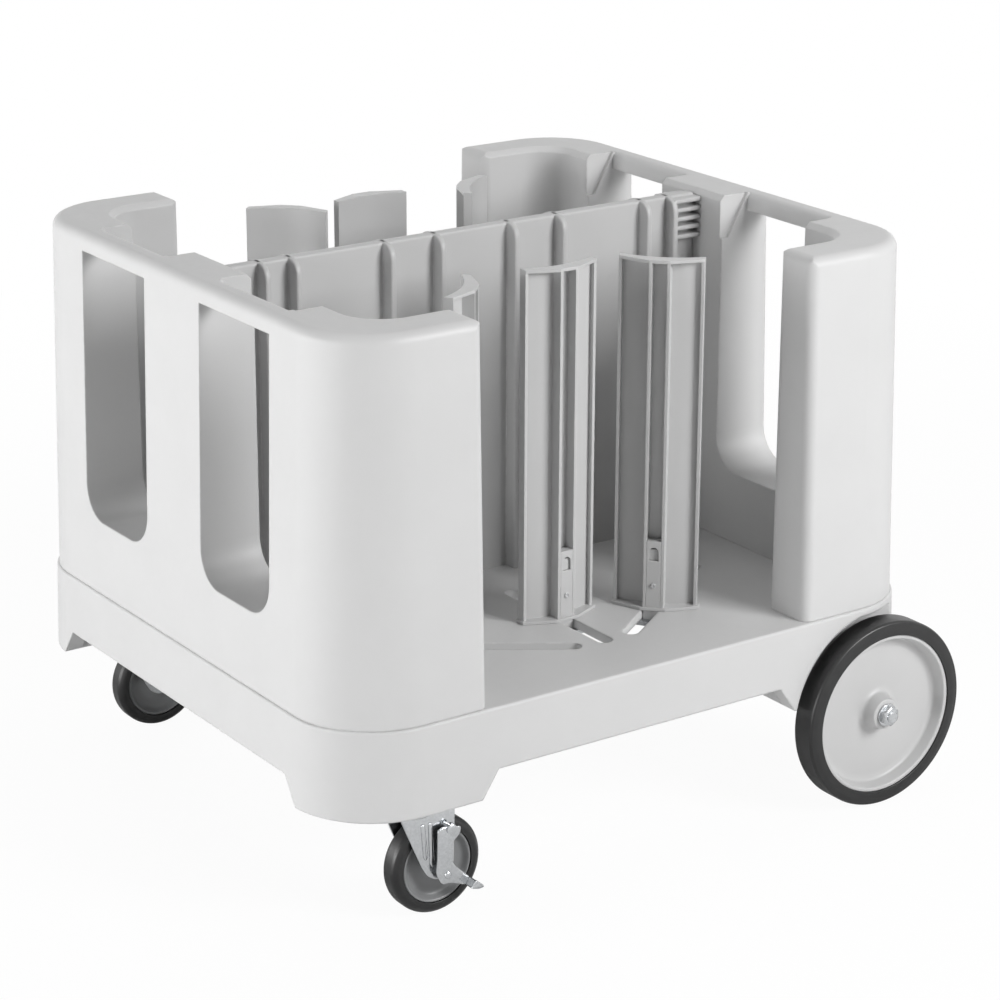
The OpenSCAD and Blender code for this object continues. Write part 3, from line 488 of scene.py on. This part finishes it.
CROWN = [[6.2, CROWN_Z - 7.5], [24, CROWN_Z - 7.5], [31, CROWN_Z - 4], [31, CROWN_Z],
         [6.2, CROWN_Z]]
CROWN_REACH = [0.5, 3, 2, 0.8, 0.5]
ROLLER = [[4.9, 14], [9, 19], [13, 19], [17, 9], [30, 5], [40, 6], [45.5, 13], [47.6, 13.6],
          [49, 12]]
ROLLER_REACH = [0.3, 1, 2, 4, 8, 6, 1.2, 0.8, 0.4]
TREAD = [[49.05, 14.6], [57, 15], [63.5, 9.5]]
TREAD_REACH = [0.6, 4, 5]
BOLT_R, HEAD_ACROSS, HEAD_H, HEAD_CHAMFER = 4.75, 13.9, 6, 1.2
LEVER = [[21, 119], [30, 121], [54.4, 117], [53, 108], [43, 99], [39, 78], [46, 66],
         [66.8, 46], [60, 37], [39.8, 45.4], [26.3, 46], [18.4, 61.5], [20.5, 80]]
LEVER_REACH = [3, 3, 3, 3, 4, 4, 6, 3, 3, 6, 5, 5, 4]
LEVER_IN, LEVER_T, LEVER_EDGE = FORK_OUT + HEAD_H + 1, 2.5, 0.7
PEDAL = [[66.8, 46.4], [60, 36.8], [71, 33.4], [78.6, 34.2], [78, 37.4]]
PEDAL_W, PEDAL_EDGE = 16.5, 1.2
PIN_PLACE, PIN_R = (40, 0, 117), [4.0, 4.0, 6.5, 6.5, 5.2, 2.6]
PIN_Y = [FORK_IN, LEVER_IN + 2.5, LEVER_IN + 2.5, LEVER_IN + 4.2, LEVER_IN + 5.2,
         LEVER_IN + 5.5]
RIVET_PLACE, RIVET_R = (35, 0, 57), [4.6, 4.6, 4.0, 2.6, 1.0]
RIVET_Y = [LEVER_IN + 0.5, LEVER_IN + 3.3, LEVER_IN + 4.1, LEVER_IN + 4.6, LEVER_IN + 4.8]


def both_faces(half, reach, steps=6):
    """A half profile of (radius, distance) and its mirror image in one softened outline."""
    half, reach = np.asarray(half, float), np.asarray(reach, float)
    return softened(np.vstack([half, half[::-1]*[1, -1]]), np.append(reach, reach[::-1]), steps)


def fork_shells(centre):
    """Two legs with their ribs, and the bridge and the round crown that join them."""
    shells = []
    for out in (-1, 1):
        face = seat(centre, X, Z, (0, out, 0))
        shells.append(plate(softened(LEG, LEG_REACH), FORK_IN, FORK_OUT, FORK_EDGE, face))
        for rib in RIBS:
            shells.append(plate(softened(rib, RIB_REACH), FORK_OUT - RIB_SINK,
                                FORK_OUT + RIB_RISE, RIB_EDGE, face))
    level = seat(centre, X, Y, Z)
    shells.append(plate(softened(BRIDGE, 2), CROWN_Z - FORK_T, CROWN_Z, FORK_EDGE, level))
    shells.append(turned(softened(CROWN, CROWN_REACH), level, 96))
    return shells


def bolt_shells(centre):
    """A plain shank and a hexagon at each of its ends."""
    shank = round_rings([BOLT_R, BOLT_R], [-FORK_OUT - 1, FORK_OUT + 1],
                        seat(centre, X, Z, Y))
    heads = [nut(HEAD_ACROSS, FORK_OUT, FORK_OUT + HEAD_H, HEAD_CHAMFER,
                 seat(centre, X, Z, (0, out, 0)), 48) for out in (-1, 1)]
    return [shank, *heads]


def lever_shells(centre, side):
    """The stamped lever, its folded pedal, the pin that it turns on and a rivet's head."""
    outward = (0, side, 0)
    face = seat(centre, X, Z, outward)
    return [plate(softened(LEVER, LEVER_REACH), LEVER_IN, LEVER_IN + LEVER_T, LEVER_EDGE, face),
            plate(softened(PEDAL, 2), LEVER_IN, LEVER_IN + PEDAL_W, PEDAL_EDGE, face),
            round_rings(PIN_R, PIN_Y, seat(np.add(centre, PIN_PLACE), X, Z, outward)),
            round_rings(RIVET_R, RIVET_Y, seat(np.add(centre, RIVET_PLACE), X, Z, outward))]


for name, side in SIDES.items():
    yoke, roller = name + "_caster_yoke", name + "_caster_roller"
    swivel_at = (SWIVEL_X, side*SWIVEL_Y, 0)
    spin_at = (SWIVEL_X + TRAIL, side*SWIVEL_Y, ROLLER_R)
    spin_place = seat(spin_at, X, Z, (0, side, 0))
    keep(name + "_pressed_fork", fork_shells(swivel_at), zinc, yoke, "zinc_steel",
         name + "_caster_fork")
    keep(name + "_caster_dish", [turned(both_faces(ROLLER, ROLLER_REACH), spin_place, 120)],
         hub_skin, roller, "caster_hub", name + "_caster_wheel")
    keep(name + "_caster_tread", [turned(both_faces(TREAD, TREAD_REACH, 8), spin_place, 120)],
         rubber, roller, "tyre_rubber", name + "_caster_tyre")
    keep(name + "_wheel_bolt", bolt_shells(spin_at), zinc, yoke, "zinc_steel",
         name + "_caster_axle_bolt")
    keep(name + "_stamped_lever", lever_shells(swivel_at, side), zinc, name + "_brake",
         "zinc_steel", name + "_brake_lever")
print("swivel casters made")

# %% [markdown]
# ## The finned divider
# A wall with upright fins parts the two rows of plates, and short shelves fill the corner
# between the last fin and the end wall that stands at the large wheels. The moulding's edges
# are all rounded, which shows as a pale line down each fin, so plates with rounded edges are
# better here than the sharp solid. A corner's curve has to span more than the edge's radius
# over 0.7, or the drawn-in outline would fold over at the corner.

# %% The finned divider
CENTRE_X, FOOT_Z, DIVIDER_TOP = -19.25, 268.0, 742.0
WALL_HALF_L, WALL_HALF_T, WALL_EDGE, WALL_REACH = 360.0, 8.0, 3.0, 4.5
FIN_SHARES, FIN_REACH, FIN_HALF_T, FIN_EDGE = [0.158, 0.369, 0.753, 0.875], 27.0, 4.0, 2.2
FIN_CORNERS = [3.4, 3.4, 21.6, 21.6]
SHELF_COUNT, SHELF_PITCH, SHELF_T, SHELF_REACH, SHELF_EDGE = 5, 12.2, 6.0, 23.0, 1.6


def upright(half_width, corner_reach, steps=5):
    """A softened rectangle from the foot to the top of the divider."""
    return softened([[-half_width, FOOT_Z], [half_width, FOOT_Z], [half_width, DIVIDER_TOP],
                     [-half_width, DIVIDER_TOP]], corner_reach, steps)


divider_shells = [plate(upright(WALL_HALF_L, WALL_REACH), -WALL_HALF_T, WALL_HALF_T, WALL_EDGE,
                        seat((CENTRE_X, 0, 0), X, Z, Y))]
fin_outline = upright(FIN_REACH, FIN_CORNERS, 9)
for fin_x in np.outer([-1, 1], FIN_SHARES).reshape(-1)*WALL_HALF_L:
    fin_place = seat((CENTRE_X + fin_x, 0, 0), Y, Z, X)
    divider_shells.append(plate(fin_outline, -FIN_HALF_T, FIN_HALF_T, FIN_EDGE, fin_place))
shelf_from = FIN_SHARES[-1]*WALL_HALF_L
shelf_outline = softened([[shelf_from, -SHELF_REACH], [WALL_HALF_L, -SHELF_REACH],
                          [WALL_HALF_L, SHELF_REACH], [shelf_from, SHELF_REACH]], 2.6)
for shelf_top in DIVIDER_TOP - SHELF_T/2 - SHELF_PITCH*np.arange(SHELF_COUNT):
    shelf_place = seat((CENTRE_X, 0, shelf_top), X, Y, Z)
    divider_shells.append(plate(shelf_outline, -SHELF_T, 0, SHELF_EDGE, shelf_place))
# The divider wears the darker copy of the body's plastic, which paints shade on it.
keep("finned_divider", divider_shells, divider_skin_with_painted_shade, "cart", "moulded_body", "centre_divider")
print("divider made of", len(divider_shells), "shells")

# %% [markdown]
# ## The screws of the latch covers
# A small pan-head screw holds each cover in the back channel of its tower. Its head is a low
# dome round a socket, so one profile of radius against height is enough. Every tower stands at
# its own place and angle, so the screw is seated by the corner points of its cover: the median
# of those within 2 mm of the outermost one is the cover's face.

# %% The screws of the latch covers
SCREW_UP, FACE_BAND = 30.0, 2.0
SCREW_HEAD = [[0.9, 0.2], [0.9, 0.6], [1.3, 1.7], [2.4, 1.62], [3.65, 0.9], [3.65, -0.2],
              [0.9, -0.2]]
SCREW_REACH = [0.1, 0.2, 0.2, 0.6, 0.5, 0.1, 0.1]
TOWER_TURNS = {"left": (-1, 45), "middle": (0, 90), "right": (1, 45)}


def screw_place(cover, back):
    """A seat on the cover's face, midway across it and SCREW_UP above its foot."""
    points = np.empty(3*len(cover.vertices))
    cover.vertices.foreach_get("co", points)
    points = points.reshape(-1, 3)/MM
    across = np.array([-back[1], back[0], 0.0])
    aside, outwards = points @ across, points @ back
    face = np.median(outwards[outwards > outwards.max() - FACE_BAND])
    middle = (aside.max() + aside.min())/2
    foot = np.array([0, 0, points[:, 2].min()])
    origin = face*back + middle*across + foot + np.array([0, 0, SCREW_UP])
    return seat(origin, across, Z, back)


for name, side in SIDES.items():
    for position, (sense, turn) in TOWER_TURNS.items():
        tower, angle = f"{name}_{position}", math.radians(turn)
        back = np.array([-sense*math.cos(angle), side*math.sin(angle), 0.0])
        screw = turned(softened(SCREW_HEAD, SCREW_REACH),
                       screw_place(nodes[tower + "_latch_cover"].data, back), 40)
        keep(tower + "_cover_screw", [screw], zinc, tower + "_slider", "zinc_steel")
print("cover screws made")

# %% [markdown]
# ## The studio
# The cart stands on a plain white sheet under large soft lamps. The main lamp stands in front
# and to the right, and two low ones at the left, so that the upright faces are the brightest
# and the tops and the inside fall a little darker, as in the picture. The camera sees the sheet
# mixed with plain white: 5 parts of its own shading in 100 near the cart keep a faint shadow,
# and further out the white takes over. The world is plain white to the camera and in
# reflections, and dim as a light.

# %% The studio
FLOOR_HALF = 4.0
NEAR_FLOOR, FAR_FLOOR = 1.2, 2.6
WHITE_NEAR, WHITE_FAR = 0.95, 1.0
WORLD_STRENGTH = 0.04
LAMP_AIM = (0, 0, 0.4)
LAMPS = {"right_softbox": ((1.3, -3.0, 2.0), (1.4, 1.4), 106),
         "left_softbox": ((-4.0, -0.4, 0.8), (2.2, 1.2), 83),
         "left_back_softbox": ((-3.4, 1.8, 0.8), (1.8, 1.2), 46),
         "overhead_softbox": ((0.3, 0.6, 3.6), (2.4, 2.4), 29),
         "back_softbox": ((1.6, 4.2, 1.3), (2.2, 2.0), 100)}


def make_floor():
    """One flat sheet of four corners, wide enough to fill every view."""
    mesh = bpy.data.meshes.new("floor")
    h = FLOOR_HALF
    mesh.from_pydata([(-h, -h, 0), (h, -h, 0), (h, h, 0), (-h, h, 0)], [], [(0, 1, 2, 3)])
    floor = bpy.data.objects.new("floor", mesh)
    bpy.context.scene.collection.objects.link(floor)
    material, tree, place = new_material("white_paper_sheet")
    paper = add(tree, "BsdfPrincipled", Base_Color=linear("#F4F4F4"), Roughness=0.9)
    white = add(tree, "Emission", Color=(1, 1, 1, 1), Strength=1.0)
    path = add(tree, "LightPath").outputs["Is Camera Ray"]
    far = add(tree, "VectorMath", {"operation": "LENGTH"}, i0=place).outputs["Value"]
    whiter = ramp(tree, far, NEAR_FLOOR, FAR_FLOOR, WHITE_NEAR, WHITE_FAR)
    share = add(tree, "Math", {"operation": "MULTIPLY"}, i0=path, i1=whiter).outputs[0]
    both = add(tree, "MixShader", i0=share, i1=paper.outputs["BSDF"],
               i2=white.outputs["Emission"])
    add(tree, "OutputMaterial", Surface=both.outputs["Shader"])
    mesh.materials.append(material)
    return floor


def make_world(strength):
    """A dim white surround for the light, and plain white where the camera or gloss sees it."""
    world = bpy.data.worlds.new("studio_world")
    world.use_nodes = True
    tree = world.node_tree
    tree.nodes.clear()
    path = add(tree, "LightPath")
    seen = add(tree, "Math", {"operation": "MAXIMUM"}, i0=path.outputs["Is Camera Ray"],
               i1=path.outputs["Is Glossy Ray"]).outputs[0]
    dim = add(tree, "Background", Color=(1, 1, 1, 1), Strength=strength)
    bright = add(tree, "Background", Color=(1, 1, 1, 1), Strength=1.0)
    both = add(tree, "MixShader", i0=seen, i1=dim.outputs[0], i2=bright.outputs[0])
    add(tree, "OutputWorld", Surface=both.outputs["Shader"])
    bpy.context.scene.world = world
    return world


def soft_lamp(name, place, size, watts):
    """A square area lamp that looks from its place at LAMP_AIM."""
    data = bpy.data.lights.new(name, "AREA")
    data.shape = "RECTANGLE"
    data.size, data.size_y = size
    data.energy = watts
    lamp = bpy.data.objects.new(name, data)
    bpy.context.scene.collection.objects.link(lamp)
    lamp.location = place
    way = Vector(LAMP_AIM) - Vector(place)
    lamp.rotation_euler = way.to_track_quat("-Z", "Y").to_euler()
    return lamp


floor = make_floor()
world = make_world(WORLD_STRENGTH)
lamps = {name: soft_lamp(name, *settings) for name, settings in LAMPS.items()}
lamps["back_softbox"].visible_glossy = False
print("studio ready:", len(lamps), "lamps")

# %% The colour of the picture and the last line
scene = bpy.context.scene
scene.view_settings.view_transform = "Standard"
